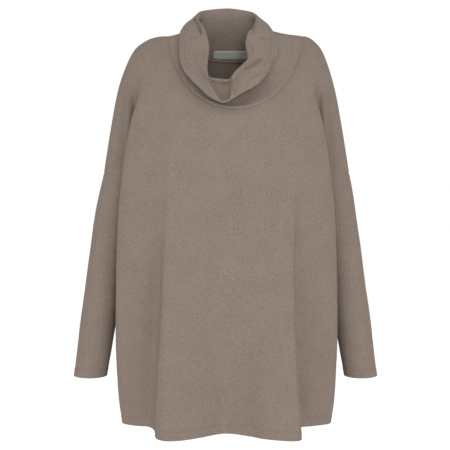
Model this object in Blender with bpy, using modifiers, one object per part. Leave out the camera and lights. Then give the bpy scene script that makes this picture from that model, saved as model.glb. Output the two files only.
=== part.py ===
"""A loose knitted sweater with dropped shoulders, long sleeves and a tall rolled-over collar.

It keeps the hollow form that it has when it is worn with the arms down. Metres, +Z up, the front
faces -Y, left and right are the wearer's, and the origin is inside the neck, level with the top of
the shoulders. Every piece of cloth is one wall with an open neck, hem or cuff, and the pieces meet
at their seams with a small gap.
"""

import math
from collections import namedtuple

import bmesh
import bpy
from mathutils import Vector

COLLECTION = "cowl_neck_sweater"

CLOTH_THICKNESS = 0.002
SEAM_GAP = 0.0003
UNDERARM_EASE = 0.0040
LABEL_THICKNESS = 0.0006

# Heights of the two levels where the body changes, and how far the sleeves reach.
UNDERARM_HEIGHT = -0.266
HEM_HEIGHT = -0.752
CUFF_HEIGHT = -0.664

# The body hangs a little to the wearer's left of the neck.
BODY_CENTRE_X = 0.003
NECK_AXIS = Vector((0.005, -0.010, 0.0))

# Rings of the upper body, from the collar seam out over the shoulder to the sleeve seam. Each one
# is a slanted, squared ellipse. "roundness" flattens it over the shoulder, and "fold" is the share
# of the fold in front of and behind the arm that the ring has.
Ring = namedtuple(
    "Ring",
    "step centre_x side_x side_z front_y front_z back_y back_z squareness roundness fold",
)
RINGS = (
    Ring(0, 0.020, 0.134, 0.0110, 0.115, -0.134, 0.095, -0.034, 2.1, 0.12, 0.00),
    Ring(1, 0.015, 0.148, 0.0095, 0.120, -0.146, 0.110, -0.056, 2.2, 0.16, 0.00),
    Ring(2, 0.010, 0.165, 0.0025, 0.123, -0.161, 0.121, -0.082, 2.3, 0.22, 0.00),
    Ring(3, 0.006, 0.186, -0.0170, 0.125, -0.178, 0.129, -0.108, 2.45, 0.30, 0.04),
    Ring(4, 0.004, 0.203, -0.0550, 0.126, -0.197, 0.134, -0.137, 2.6, 0.30, 0.18),
    Ring(5, 0.003, 0.2170, -0.102, 0.126, -0.216, 0.137, -0.168, 2.7, 0.30, 0.42),
    Ring(6, 0.003, 0.2285, -0.164, 0.126, -0.237, 0.139, -0.203, 2.75, 0.30, 0.70),
    Ring(7, 0.003, 0.238, -0.222, 0.1255, -0.256, 0.140, -0.238, 2.8, 0.30, 0.90),
    Ring(8, 0.003, 0.244, -0.262, 0.125, -0.270, 0.140, -0.270, 2.8, 0.30, 1.00),
)
UPPER_ROWS = (0.0, 0.22, 0.9, 1.8, 2.7, 3.6, 4.5, 5.4, 6.3, 7.1, 7.75, 8.0)
LOWER_ROW_COUNT = 13

# Half sections of the body below the arm, from the middle to the side seam, with distances from
# the middle and from the side seam. The cloth comes forward to a turn, drops back to the foot of
# the fold, runs out to an edge that hangs in front of the sleeve and turns in to the side seam.
Section = namedtuple(
    "Section",
    "height middle_y turn_x turn_y foot_x foot_y edge_x edge_y seam_x",
)
FRONT_LEFT_SECTIONS = (
    Section(-0.266, 0.125, 0.128, 0.120, 0.150, 0.112, 0.2045, 0.082, 0.152),
    Section(-0.360, 0.128, 0.126, 0.128, 0.149, 0.114, 0.2100, 0.078, 0.1725),
    Section(-0.460, 0.130, 0.125, 0.139, 0.146, 0.110, 0.2135, 0.070, 0.193),
    Section(-0.560, 0.130, 0.127, 0.149, 0.144, 0.103, 0.2150, 0.060, 0.206),
    Section(-0.650, 0.127, 0.131, 0.158, 0.144, 0.094, 0.2130, 0.050, 0.208),
    Section(-0.710, 0.122, 0.132, 0.165, 0.142, 0.086, 0.2090, 0.044, 0.208),
    Section(-0.752, 0.117, 0.133, 0.169, 0.140, 0.081, 0.2010, 0.043, 0.206),
)
FRONT_RIGHT_SECTIONS = (
    Section(-0.266, 0.125, 0.108, 0.126, 0.140, 0.113, 0.2045, 0.082, 0.152),
    Section(-0.360, 0.128, 0.109, 0.133, 0.142, 0.114, 0.2100, 0.078, 0.1725),
    Section(-0.460, 0.130, 0.112, 0.141, 0.144, 0.110, 0.2135, 0.070, 0.193),
    Section(-0.560, 0.130, 0.113, 0.150, 0.145, 0.103, 0.2150, 0.060, 0.206),
    Section(-0.650, 0.127, 0.115, 0.159, 0.149, 0.094, 0.2130, 0.050, 0.208),
    Section(-0.710, 0.122, 0.116, 0.166, 0.146, 0.086, 0.2090, 0.044, 0.208),
    Section(-0.752, 0.117, 0.118, 0.170, 0.145, 0.081, 0.2010, 0.043, 0.206),
)
BACK_SECTIONS = (
    Section(-0.266, 0.140, 0.100, 0.138, 0.140, 0.124, 0.2045, 0.084, 0.152),
    Section(-0.360, 0.141, 0.102, 0.143, 0.142, 0.123, 0.2100, 0.080, 0.1725),
    Section(-0.460, 0.140, 0.105, 0.149, 0.143, 0.120, 0.2135, 0.073, 0.193),
    Section(-0.560, 0.137, 0.108, 0.155, 0.146, 0.114, 0.2145, 0.062, 0.206),
    Section(-0.650, 0.133, 0.112, 0.161, 0.149, 0.106, 0.2115, 0.052, 0.208),
    Section(-0.710, 0.130, 0.114, 0.165, 0.151, 0.099, 0.2095, 0.043, 0.208),
    Section(-0.752, 0.127, 0.116, 0.168, 0.153, 0.094, 0.2075, 0.037, 0.206),
)

# Where the named places of a half section lie on a ring, and the shares of each stretch between
# two places at which the cloth has a column. A narrow last column keeps a seam's rims parallel.
BODY_PLACE_ANGLES = (0.0, 9.0, 20.0, 31.0, 54.0, 61.0, 66.0)
FRONT_COLUMNS = (
    (0.3, 0.65, 1.0),
    (0.4, 0.75, 1.0),
    (0.3, 0.65, 1.0),
    (0.25, 0.5, 0.75, 1.0),
    (0.35, 0.7, 1.0),
    (0.5, 0.85, 1.0),
)
BACK_COLUMNS = (
    (0.4, 1.0),
    (0.5, 1.0),
    (0.5, 1.0),
    (0.33, 0.67, 1.0),
    (0.5, 1.0),
    (0.5, 0.85, 1.0),
)
ARM_PLACE_ANGLES = (66.0, 71.0, 78.0, 84.0, 90.0)
ARM_COLUMNS = ((0.5, 1.0), (0.5, 1.0), (0.5, 1.0), (0.75, 1.0))
SIDE_TUCK = 0.90
SLOPE_PLACE = 0.60
SLOPE_RISE = 0.86

# The ring round the arm at the sleeve seam, from the underarm point to the outside: how wide the
# cloth has opened just past that point, where it is widest, and where it turns to the outside.
ARM_OUTER_X = 0.244
ARM_HALF_DEPTH = 0.045
ARM_OPENING_X = 0.018
ARM_OPENING_SHARE = 0.32
ARM_FRONT_X = 0.198
ARM_TURN_PLACE = 0.74
ARM_TURN_SHARE = 0.70

# Sections of a sleeve, with the inner and outer edge from the body's middle.
Cuff = namedtuple("Cuff", "height outer_x inner_x half_depth forward")
SLEEVE_SECTIONS = (
    Cuff(-0.262, 0.2440, 0.1565, 0.0450, 0.000),
    Cuff(-0.316, 0.2550, 0.1700, 0.0420, 0.000),
    Cuff(-0.396, 0.2670, 0.1905, 0.0385, 0.001),
    Cuff(-0.460, 0.2755, 0.2035, 0.0365, 0.002),
    Cuff(-0.516, 0.2830, 0.2120, 0.0350, 0.003),
    Cuff(-0.560, 0.2890, 0.2195, 0.0340, 0.004),
    Cuff(-0.620, 0.2955, 0.2295, 0.0325, 0.006),
    Cuff(-0.664, 0.3005, 0.2370, 0.0315, 0.008),
)
SLEEVE_FIRST_ROWS = (0.0, 0.01, 0.06)
SLEEVE_EVEN_ROWS = 10
SLEEVE_CENTRE_X = 0.001
SLEEVE_BLEND = 0.10

# Stations round the collar, from the back past the wearer's right, the front and the left. The
# crest is the top of the roll and the edge is where the fall of the collar ends. Bearings are from
# the front to the wearer's left, and "columns" is how many the collar has up to the next station.
Station = namedtuple(
    "Station",
    "step crest_bearing crest_out crest_z edge_bearing edge_out edge_z columns",
)
COLLAR_STATIONS = (
    Station(0, -180, 0.0760, 0.0723, -180, 0.1120, 0.0000, 3),
    Station(1, -144, 0.0800, 0.0670, -146, 0.1100, 0.0020, 2),
    Station(2, -122, 0.0700, 0.0580, -116, 0.1010, 0.0140, 2),
    Station(3, -108, 0.0623, 0.0505, -93, 0.0935, 0.0200, 2),
    Station(4, -84, 0.0505, 0.0350, -77, 0.0985, -0.0060, 2),
    Station(5, -62, 0.0490, 0.0130, -67, 0.1030, -0.0247, 2),
    Station(6, -47, 0.0545, -0.0070, -56.4, 0.1085, -0.0470, 2),
    Station(7, -40, 0.0650, -0.0250, -47.6, 0.1113, -0.0650, 2),
    Station(8, -34.6, 0.0753, -0.0460, -38, 0.1135, -0.0790, 2),
    Station(9, -29, 0.0823, -0.0630, -28, 0.1170, -0.0930, 3),
    Station(10, -23, 0.0870, -0.0735, -16, 0.1235, -0.1120, 3),
    Station(11, -11, 0.0800, -0.0765, -4, 0.1305, -0.1225, 3),
    Station(12, 2.5, 0.0805, -0.0765, 3.5, 0.1275, -0.1165, 3),
    Station(13, 11.4, 0.0730, -0.0630, 13, 0.1211, -0.1045, 2),
    Station(14, 24, 0.0690, -0.0500, 27, 0.1146, -0.0910, 2),
    Station(15, 36, 0.0684, -0.0370, 43, 0.1102, -0.0690, 2),
    Station(16, 43, 0.0640, -0.0220, 56, 0.1075, -0.0500, 2),
    Station(17, 49, 0.0535, -0.0040, 66, 0.1066, -0.0330, 2),
    Station(18, 62, 0.0465, 0.0118, 77, 0.1040, -0.0120, 2),
    Station(19, 84, 0.0475, 0.0275, 87, 0.1004, 0.0070, 2),
    Station(20, 108, 0.0600, 0.0500, 97, 0.0925, 0.0190, 2),
    Station(21, 126, 0.0690, 0.0580, 120, 0.1010, 0.0130, 2),
    Station(22, 147, 0.0760, 0.0660, 148, 0.1100, 0.0030, 3),
)
COLLAR_ROWS = (
    (1.0,),
    (0.33, 0.66, 1.0),
    (0.4, 0.8, 1.0),
    (1.0,),
    (1.0,),
    (0.35, 0.7, 1.0),
    (0.5, 1.0),
)
FALL_START = 9
SEAM_STRIP = 0.004
CREST_REACH = 0.35
KNEE_SHARE = 0.5
KNEE_RISE = 0.22
ROLL_RADIUS = 0.006
ROLL_INSIDE = (0.6, 2.0)
ROLL_OUTSIDE = (1.0, 0.7)
FALL_BULGE = 0.003

# The valley between the two halves of the fall at the front: the stations between which it lies
# at the roll and at the edge, how far it is set back, and how many stations each side takes.
VALLEY_AT_ROLL = (10.2, 12.0)
VALLEY_AT_EDGE = (10.7, 11.9)
VALLEY_DEPTH = 0.012
VALLEY_SOFTNESS = 0.35
VALLEY_SWELL = (0.25, 0.6)

# The stations and rows of the collar that the label covers, inside the back of the neck.
LABEL_STEPS = (22.6, 23.7)
LABEL_ROWS = (2, 3, 4)


def mix(low, high, share):
    """The value a share of the way from low to high."""
    return low + (high - low) * share


def smooth_step(low, high, value):
    """0 below low, 1 above high, and a soft turn between them."""
    share = min(max((value - low) / (high - low), 0.0), 1.0)
    return share * share * (3.0 - 2.0 * share)


def row_at(table, position):
    """Every column of a table at a position along its first one, on a smooth curve."""
    rows = table if table[0][0] < table[-1][0] else table[::-1]
    index = 0
    while index < len(rows) - 2 and position > rows[index + 1][0]:
        index += 1
    start, end = rows[index], rows[index + 1]
    before = rows[max(index - 1, 0)]
    after = rows[min(index + 2, len(rows) - 1)]
    width = end[0] - start[0]
    lead = width / (end[0] - before[0])
    trail = width / (after[0] - start[0])
    share = (position - start[0]) / width
    square, cube = share**2, share**3
    values = []
    for a, b, c, d in zip(before, start, end, after):
        values.append(
            (2.0 * cube - 3.0 * square + 1.0) * b
            + (cube - 2.0 * square + share) * (c - a) * lead
            + (3.0 * square - 2.0 * cube) * c
            + (cube - square) * (d - b) * trail
        )
    return type(start)(*values)


def curve_through(places, before, after, columns):
    """Points on a smooth curve through the places, at the given shares of each stretch."""
    chain = [before, *places, after]
    points = [places[0].copy()]
    for index, shares in enumerate(columns):
        a, b, c, d = chain[index : index + 4]
        knot_b = (b - a).length ** 0.5
        knot_c = knot_b + (c - b).length ** 0.5
        knot_d = knot_c + (d - c).length ** 0.5
        for share in shares:
            at = mix(knot_b, knot_c, share)
            ab = a.lerp(b, at / knot_b)
            bc = b.lerp(c, (at - knot_b) / (knot_c - knot_b))
            cd = c.lerp(d, (at - knot_c) / (knot_d - knot_c))
            low = ab.lerp(bc, at / knot_c)
            high = bc.lerp(cd, (at - knot_b) / (knot_d - knot_b))
            points.append(low.lerp(high, (at - knot_b) / (knot_c - knot_b)))
    return points


def column_angles(place_angles, columns):
    """The ring angle of every column of a half section."""
    angles = [place_angles[0]]
    for index, shares in enumerate(columns):
        for share in shares:
            angles.append(mix(place_angles[index], place_angles[index + 1], share))
    return angles


ARM_ANGLES = column_angles(ARM_PLACE_ANGLES, ARM_COLUMNS)


def ring_point(ring, face, side, angle):
    """A point on a slanted ring. face is -1 at the front, side is -1 on the wearer's right."""
    across = math.sin(math.radians(angle)) ** (2.0 / ring.squareness)
    cosine = max(math.cos(math.radians(angle)), 0.0)
    along = cosine ** (2.0 / ring.squareness)
    soft = math.hypot(cosine, ring.roundness) - ring.roundness
    slant = soft / (math.hypot(1.0, ring.roundness) - ring.roundness)
    depth, low = (ring.front_y, ring.front_z) if face < 0 else (ring.back_y, ring.back_z)
    return Vector(
        (
            ring.centre_x + side * ring.side_x * across,
            face * depth * along,
            mix(ring.side_z, low, slant),
        )
    )


def body_columns(face):
    """The columns of half of the front or back, as shares of each stretch."""
    return FRONT_COLUMNS if face < 0 else BACK_COLUMNS


def ring_angles(face):
    """The ring angle of each column, round the body and then round the arm."""
    return column_angles(BODY_PLACE_ANGLES, body_columns(face)) + ARM_ANGLES[1:]


def half_section(section, columns):
    """Plan points of a half section from the middle to the side seam, as x and depth."""
    middle = Vector((0.0, section.middle_y))
    slope = Vector((section.turn_x * SLOPE_PLACE, mix(section.middle_y, section.turn_y, SLOPE_RISE)))
    turn = Vector((section.turn_x, section.turn_y))
    foot = Vector((section.foot_x, section.foot_y))
    edge = Vector((section.edge_x, section.edge_y))
    side = Vector((mix(section.edge_x, section.seam_x, SIDE_TUCK), section.edge_y * 0.5))
    seam = Vector((section.seam_x, 0.0))
    places = [middle, slope, turn, foot, edge, side, seam]
    before = Vector((-slope.x, slope.y))
    after = Vector((side.x, -side.y))
    return curve_through(places, before, after, columns)


def arm_section(seam_x):
    """Plan points round half of the arm, from the underarm point to the outside."""
    places = [
        Vector((seam_x, 0.0)),
        Vector((seam_x + ARM_OPENING_X, ARM_HALF_DEPTH * ARM_OPENING_SHARE)),
        Vector((ARM_FRONT_X, ARM_HALF_DEPTH)),
        Vector((mix(ARM_FRONT_X, ARM_OUTER_X, ARM_TURN_PLACE), ARM_HALF_DEPTH * ARM_TURN_SHARE)),
        Vector((ARM_OUTER_X, 0.0)),
    ]
    before = places[0] * 2.0 - places[1]
    after = Vector((places[3].x, -places[3].y))
    return curve_through(places, before, after, ARM_COLUMNS)


def sections_of(face, side):
    """The table of half sections on one side of the front or back."""
    if face > 0:
        return BACK_SECTIONS
    return FRONT_LEFT_SECTIONS if side > 0 else FRONT_RIGHT_SECTIONS


def underarm_row(face, side):
    """The half row at the sleeve seam, round the body and then round the arm."""
    table = sections_of(face, side)
    plan = half_section(table[0], body_columns(face))
    plan += arm_section(table[0].seam_x)[1:]
    ring = RINGS[-1]
    row = []
    for point, angle in zip(plan, ring_angles(face)):
        height = ring_point(ring, face, side, angle).z
        row.append(Vector((BODY_CENTRE_X + side * point.x, face * point.y, height)))
    return row


def upper_row(face, side, step):
    """A half row of the upper body, from the middle to the shoulder seam."""
    ring = row_at(RINGS, step)
    folded = underarm_row(face, side)
    row = []
    for angle, target in zip(ring_angles(face), folded):
        shift = target - ring_point(RINGS[-1], face, side, angle)
        row.append(ring_point(ring, face, side, angle) + shift * ring.fold)
    return row


def lower_row(face, side, share):
    """A half row below the arm, at a share of the way from the underarm to the hem."""
    section = row_at(sections_of(face, side), mix(UNDERARM_HEIGHT, HEM_HEIGHT, share))
    top = underarm_row(face, side)
    row = []
    for point, start in zip(half_section(section, body_columns(face)), top):
        height = mix(start.z, HEM_HEIGHT, share)
        row.append(Vector((BODY_CENTRE_X + side * point.x, face * point.y, height)))
    return row


def panel_rows(face):
    """All rows of the front or back. Below the arm the columns past the side seam are empty."""
    rows = []
    for step in UPPER_ROWS:
        right = upper_row(face, -1, step)
        left = upper_row(face, 1, step)
        rows.append(right[:0:-1] + left)
    spare = [None] * (len(ARM_ANGLES) - 1)
    for index in range(1, LOWER_ROW_COUNT + 1):
        share = index / LOWER_ROW_COUNT
        right = lower_row(face, -1, share)
        left = lower_row(face, 1, share)
        rows.append(spare + right[:0:-1] + left + spare)
    return rows


def draw_back(point, inward):
    """A point moved half the seam gap towards the piece's own cloth."""
    return point + (inward - point).normalized() * (SEAM_GAP / 2.0)


def trim_panel(rows):
    """The rows with every sewn edge drawn back for the gap. The hem stays where it is."""
    last = len(rows[0]) - 1
    arm = len(ARM_ANGLES) - 1
    underarm = len(UPPER_ROWS) - 1
    trimmed = [list(row) for row in rows]
    for column in range(last + 1):
        trimmed[0][column] = draw_back(trimmed[0][column], rows[1][column])
    for column in list(range(arm + 1)) + list(range(last - arm, last + 1)):
        trimmed[underarm][column] = draw_back(trimmed[underarm][column], rows[underarm - 1][column])
    for index in range(underarm + 1):
        for column, inner in ((0, 1), (last, last - 1)):
            trimmed[index][column] = draw_back(trimmed[index][column], rows[index][inner])
    for index in range(underarm, len(rows)):
        for column, inner in ((arm, arm + 1), (last - arm, last - arm - 1)):
            trimmed[index][column] = draw_back(trimmed[index][column], rows[index][inner])
    for column in (arm, last - arm):
        ease = UNDERARM_EASE if rows[0][arm].y > 0.0 else -UNDERARM_EASE
        trimmed[underarm][column].y += ease
    return trimmed


def half_oval(section, turns):
    """Plan points round half of a sleeve, from its inner to its outer edge."""
    middle = mix(section.outer_x, section.inner_x, 0.5)
    reach = section.outer_x - middle
    return [
        Vector((middle - reach * math.cos(turn), section.half_depth * math.sin(turn)))
        for turn in turns
    ]


def sleeve_rows(side):
    """Rings of one sleeve, which ease from the ring at its seam to the ovals down to the cuff."""
    first = SLEEVE_SECTIONS[0]
    arm = arm_section(BACK_SECTIONS[0].seam_x)
    arm[0].x = first.inner_x
    turns = [math.pi * index / (len(arm) - 1) for index in range(len(arm))]
    offsets = [point - oval for point, oval in zip(arm, half_oval(first, turns))]
    shares = list(SLEEVE_FIRST_ROWS)
    for index in range(SLEEVE_EVEN_ROWS):
        shares.append(mix(SLEEVE_FIRST_ROWS[-1], 1.0, (index + 1) / SLEEVE_EVEN_ROWS))
    rows = []
    for share in shares:
        height = mix(first.height, CUFF_HEIGHT, share)
        section = row_at(SLEEVE_SECTIONS, height)
        keep = 1.0 - smooth_step(0.0, SLEEVE_BLEND, first.height - height)
        centre_x = mix(SLEEVE_CENTRE_X, BODY_CENTRE_X, keep)
        row = []
        for face in (-1, 1):
            half = []
            for oval, offset, angle in zip(half_oval(section, turns), offsets, ARM_ANGLES):
                plan = oval + offset * keep
                level = ring_point(RINGS[-1], face, side, angle).z - first.height
                depth = face * plan.y - section.forward
                half.append(Vector((centre_x + side * plan.x, depth, height + level * keep)))
            row += half if face < 0 else half[-2:0:-1]
        rows.append(row)
    rows[0] = [draw_back(point, inward) for point, inward in zip(rows[0], rows[1])]
    return rows


def collar_steps():
    """Where the collar's columns lie, counted in stations."""
    steps = []
    for station in COLLAR_STATIONS:
        steps += [station.step + index / station.columns for index in range(station.columns)]
    return steps


def station_at(step):
    """The collar's sizes at a step, on a smooth curve that closes round the neck."""
    count = len(COLLAR_STATIONS)
    rows = []
    for lap in (-1, 0, 1):
        for station in COLLAR_STATIONS:
            rows.append(
                station._replace(
                    step=station.step + lap * count,
                    crest_bearing=station.crest_bearing + lap * 360.0,
                    edge_bearing=station.edge_bearing + lap * 360.0,
                )
            )
    return row_at(tuple(rows), step)


def round_neck(bearing, out, height):
    """A point at a bearing, a distance and a height from the neck's axis."""
    heading = math.radians(bearing)
    return NECK_AXIS + Vector((math.sin(heading) * out, -math.cos(heading) * out, height))


def crest_at(step):
    """The top of the roll at a step."""
    station = station_at(step)
    return round_neck(station.crest_bearing, station.crest_out, station.crest_z)


def neckline_point(bearing, step):
    """A point of the body's ring at a bearing: step 0 is the collar seam itself."""
    turned = (bearing + 180.0) % 360.0 - 180.0
    face = -1 if abs(turned) <= 90.0 else 1
    side = 1 if turned >= 0.0 else -1
    angle = abs(turned) if face < 0 else 180.0 - abs(turned)
    return ring_point(row_at(RINGS, step), face, side, angle)


def valley_depth(step, share):
    """How far the fall is set back between its two halves, at a share of its length."""
    right = mix(VALLEY_AT_ROLL[0], VALLEY_AT_EDGE[0], share)
    left = mix(VALLEY_AT_ROLL[1], VALLEY_AT_EDGE[1], share)
    inside = smooth_step(right - VALLEY_SOFTNESS, right + VALLEY_SOFTNESS, step)
    inside *= 1.0 - smooth_step(left - VALLEY_SOFTNESS, left + VALLEY_SOFTNESS, step)
    swell = smooth_step(0.0, VALLEY_SWELL[0], share) * (1.0 - smooth_step(VALLEY_SWELL[1], 1.0, share))
    return VALLEY_DEPTH * inside * swell


def collar_column(step):
    """Points of one column from the seam up to the roll and down the fall to its edge."""
    station = station_at(step)
    up = Vector((0.0, 0.0, 1.0))
    along = crest_at(step + CREST_REACH) - crest_at(step - CREST_REACH)
    out = along.cross(up).normalized()
    seam = neckline_point(station.edge_bearing, 0.0)
    strip = seam + (seam - neckline_point(station.edge_bearing, UPPER_ROWS[1])).normalized() * SEAM_STRIP
    crest = crest_at(step)
    edge = round_neck(station.edge_bearing, station.edge_out, station.edge_z)
    away = Vector((edge.x - NECK_AXIS.x, edge.y - NECK_AXIS.y, 0.0)).normalized()
    knee = seam.lerp(crest, KNEE_SHARE)
    knee.z = mix(seam.z, crest.z, KNEE_RISE)
    inside = crest - (out * ROLL_INSIDE[0] + up * ROLL_INSIDE[1]) * ROLL_RADIUS
    outside = crest + (out * ROLL_OUTSIDE[0] - up * ROLL_OUTSIDE[1]) * ROLL_RADIUS
    middle = outside.lerp(edge, 0.5) + (away + up) * FALL_BULGE
    places = [seam, strip, knee, inside, crest, outside, middle, edge]
    before = seam * 2.0 - strip
    after = edge * 2.0 - middle
    points = curve_through(places, before, after, COLLAR_ROWS)
    fall = len(points) - FALL_START
    for index in range(FALL_START, len(points)):
        share = (index - FALL_START + 1) / fall
        points[index] -= away * valley_depth(step, share)
    points[0] = draw_back(points[0], points[1])
    return points


def open_sheet(name, rows, closed):
    """An object with one face between each four neighbours. Empty places leave a notch."""
    mesh = bpy.data.meshes.new(name)
    shape = bmesh.new()
    grid = [[shape.verts.new(point) if point else None for point in row] for row in rows]
    width = len(grid[0])
    for upper, lower in zip(grid, grid[1:]):
        for column in range(width if closed else width - 1):
            after = (column + 1) % width
            corners = (upper[column], lower[column], lower[after], upper[after])
            if all(corners):
                shape.faces.new(corners)
    shape.to_mesh(mesh)
    shape.free()
    mesh.shade_smooth()
    return bpy.data.objects.new(name, mesh)


def cloth(name, rows, closed, thickness, material, collection):
    """A sheet given an even thickness to both sides of its rows."""
    piece = open_sheet(name, rows, closed)
    collection.objects.link(piece)
    piece.data.materials.append(material)
    wall = piece.modifiers.new("wall", "SOLIDIFY")
    wall.thickness = thickness
    wall.offset = 0.0
    wall.use_quality_normals = True
    return piece


def plain_material(name, colour, roughness):
    """A matt material with one colour."""
    material = bpy.data.materials.new(name)
    material.use_nodes = True
    shader = material.node_tree.nodes["Principled BSDF"]
    shader.inputs["Base Color"].default_value = (*colour, 1.0)
    shader.inputs["Roughness"].default_value = roughness
    shader.inputs["Metallic"].default_value = 0.0
    return material


def label_rows(collar):
    """Points inside the back of the collar, moved in from the collar's own points."""
    count = len(COLLAR_STATIONS)
    picked = []
    for column, step in enumerate(collar_steps()):
        turned = step if step > count / 2.0 else step + count
        if LABEL_STEPS[0] <= turned <= LABEL_STEPS[1]:
            picked.append((turned, column))
    distance = CLOTH_THICKNESS / 2.0 + SEAM_GAP + LABEL_THICKNESS / 2.0
    rows = []
    for index in LABEL_ROWS:
        row = []
        for turned, column in sorted(picked):
            level = collar[index]
            along = level[(column + 1) % len(level)] - level[column - 1]
            upward = collar[index + 1][column] - collar[index - 1][column]
            row.append(level[column] + upward.cross(along).normalized() * distance)
        rows.append(row)
    return rows


def build():
    """Every piece of the sweater in its own collection."""
    for old in list(bpy.data.objects):
        bpy.data.objects.remove(old, do_unlink=True)
    collection = bpy.data.collections.new(COLLECTION)
    bpy.context.scene.collection.children.link(collection)
    knit = plain_material("taupe_knit", (0.27, 0.22, 0.18), 0.95)
    tape = plain_material("grey_label_tape", (0.31, 0.34, 0.30), 0.6)

    for name, face in (("front", -1), ("back", 1)):
        cloth(name, trim_panel(panel_rows(face)), False, CLOTH_THICKNESS, knit, collection)
    for name, side in (("sleeve_right", -1), ("sleeve_left", 1)):
        cloth(name, sleeve_rows(side), True, CLOTH_THICKNESS, knit, collection)
    columns = [collar_column(step) for step in collar_steps()]
    collar = [list(row) for row in zip(*columns)]
    cloth("collar", collar, True, CLOTH_THICKNESS, knit, collection)
    cloth("label", label_rows(collar), False, LABEL_THICKNESS, tape, collection)


build()
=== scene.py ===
"""The looks of a loose knitted sweater with a tall rolled-over collar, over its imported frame.

Each piece of cloth starts as a flat grid. Its points are moved to the sweater's form, pressed in or
out along its creases, seams and hems, and given their thickness by a wall modifier. Metres, +Z up,
the front faces -Y, and left and right are the wearer's.
"""

import math
from collections import namedtuple

import bmesh
import bpy
from bpy.props import FloatProperty, FloatVectorProperty, PointerProperty
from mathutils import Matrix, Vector, noise


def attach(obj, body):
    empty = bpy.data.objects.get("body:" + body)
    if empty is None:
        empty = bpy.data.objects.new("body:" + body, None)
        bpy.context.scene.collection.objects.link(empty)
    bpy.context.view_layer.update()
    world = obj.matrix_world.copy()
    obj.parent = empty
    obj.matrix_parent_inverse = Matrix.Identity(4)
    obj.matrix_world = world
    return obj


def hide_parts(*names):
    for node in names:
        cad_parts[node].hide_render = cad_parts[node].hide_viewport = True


bl_info = {
    "name": "Cowl-neck sweater",
    "version": (1, 0, 0),
    "blender": (4, 5, 0),
    "location": "3D View > Sidebar > Sweater",
    "description": "Builds a loose knitted sweater with a rolled-over collar, and a plain studio",
    "category": "Add Mesh",
}

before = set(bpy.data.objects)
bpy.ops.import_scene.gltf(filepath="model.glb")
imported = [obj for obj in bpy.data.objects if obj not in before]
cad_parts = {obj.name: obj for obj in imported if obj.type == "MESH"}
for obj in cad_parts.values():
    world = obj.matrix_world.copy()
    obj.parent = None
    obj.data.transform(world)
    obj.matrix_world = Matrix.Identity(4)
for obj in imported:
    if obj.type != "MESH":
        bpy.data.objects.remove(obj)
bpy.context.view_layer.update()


# The form of the sweater, in the sizes that its solids have.

UNDERARM_HEIGHT = -0.266
HEM_HEIGHT = -0.752
CUFF_HEIGHT = -0.664
BODY_CENTRE_X = 0.003
NECK_AXIS = Vector((0.005, -0.010, 0.0))
UNDERARM_EASE = 0.0010

# Rings of the upper body, from the collar seam out over the shoulder to the sleeve seam.
Ring = namedtuple(
    "Ring",
    "step centre_x side_x side_z front_y front_z back_y back_z squareness roundness fold",
)
RINGS = (
    Ring(0, 0.020, 0.134, 0.0110, 0.115, -0.134, 0.095, -0.034, 2.1, 0.12, 0.00),
    Ring(1, 0.015, 0.148, 0.0095, 0.120, -0.146, 0.110, -0.056, 2.2, 0.16, 0.00),
    Ring(2, 0.010, 0.165, 0.0025, 0.123, -0.161, 0.121, -0.082, 2.3, 0.22, 0.00),
    Ring(3, 0.006, 0.186, -0.0170, 0.125, -0.178, 0.129, -0.108, 2.45, 0.30, 0.04),
    Ring(4, 0.004, 0.203, -0.0550, 0.126, -0.197, 0.134, -0.137, 2.6, 0.30, 0.18),
    Ring(5, 0.003, 0.2170, -0.102, 0.126, -0.216, 0.137, -0.168, 2.7, 0.30, 0.42),
    Ring(6, 0.003, 0.2285, -0.164, 0.126, -0.237, 0.139, -0.203, 2.75, 0.30, 0.70),
    Ring(7, 0.003, 0.238, -0.222, 0.1255, -0.256, 0.140, -0.238, 2.8, 0.30, 0.90),
    Ring(8, 0.003, 0.244, -0.262, 0.125, -0.270, 0.140, -0.270, 2.8, 0.30, 1.00),
)

# Half sections of the body below the arm, from the middle to the side seam: a turn, the foot of
# the fold behind it, and the edge that hangs in front of the sleeve.
Section = namedtuple(
    "Section",
    "height middle_y turn_x turn_y foot_x foot_y edge_x edge_y seam_x",
)
FRONT_LEFT_SECTIONS = (
    Section(-0.266, 0.125, 0.128, 0.120, 0.150, 0.112, 0.2045, 0.082, 0.152),
    Section(-0.360, 0.128, 0.126, 0.128, 0.149, 0.114, 0.2100, 0.078, 0.1725),
    Section(-0.460, 0.130, 0.125, 0.139, 0.146, 0.110, 0.2135, 0.070, 0.193),
    Section(-0.560, 0.130, 0.127, 0.149, 0.144, 0.103, 0.2150, 0.060, 0.206),
    Section(-0.650, 0.127, 0.131, 0.158, 0.144, 0.094, 0.2130, 0.050, 0.208),
    Section(-0.710, 0.122, 0.132, 0.165, 0.142, 0.086, 0.2090, 0.044, 0.208),
    Section(-0.752, 0.117, 0.133, 0.169, 0.140, 0.081, 0.2010, 0.043, 0.206),
)
FRONT_RIGHT_SECTIONS = (
    Section(-0.266, 0.125, 0.108, 0.126, 0.140, 0.113, 0.2045, 0.082, 0.152),
    Section(-0.360, 0.128, 0.109, 0.133, 0.142, 0.114, 0.2100, 0.078, 0.1725),
    Section(-0.460, 0.130, 0.112, 0.141, 0.144, 0.110, 0.2135, 0.070, 0.193),
    Section(-0.560, 0.130, 0.113, 0.150, 0.145, 0.103, 0.2150, 0.060, 0.206),
    Section(-0.650, 0.127, 0.115, 0.159, 0.149, 0.094, 0.2130, 0.050, 0.208),
    Section(-0.710, 0.122, 0.116, 0.166, 0.146, 0.086, 0.2090, 0.044, 0.208),
    Section(-0.752, 0.117, 0.118, 0.170, 0.145, 0.081, 0.2010, 0.043, 0.206),
)
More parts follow.
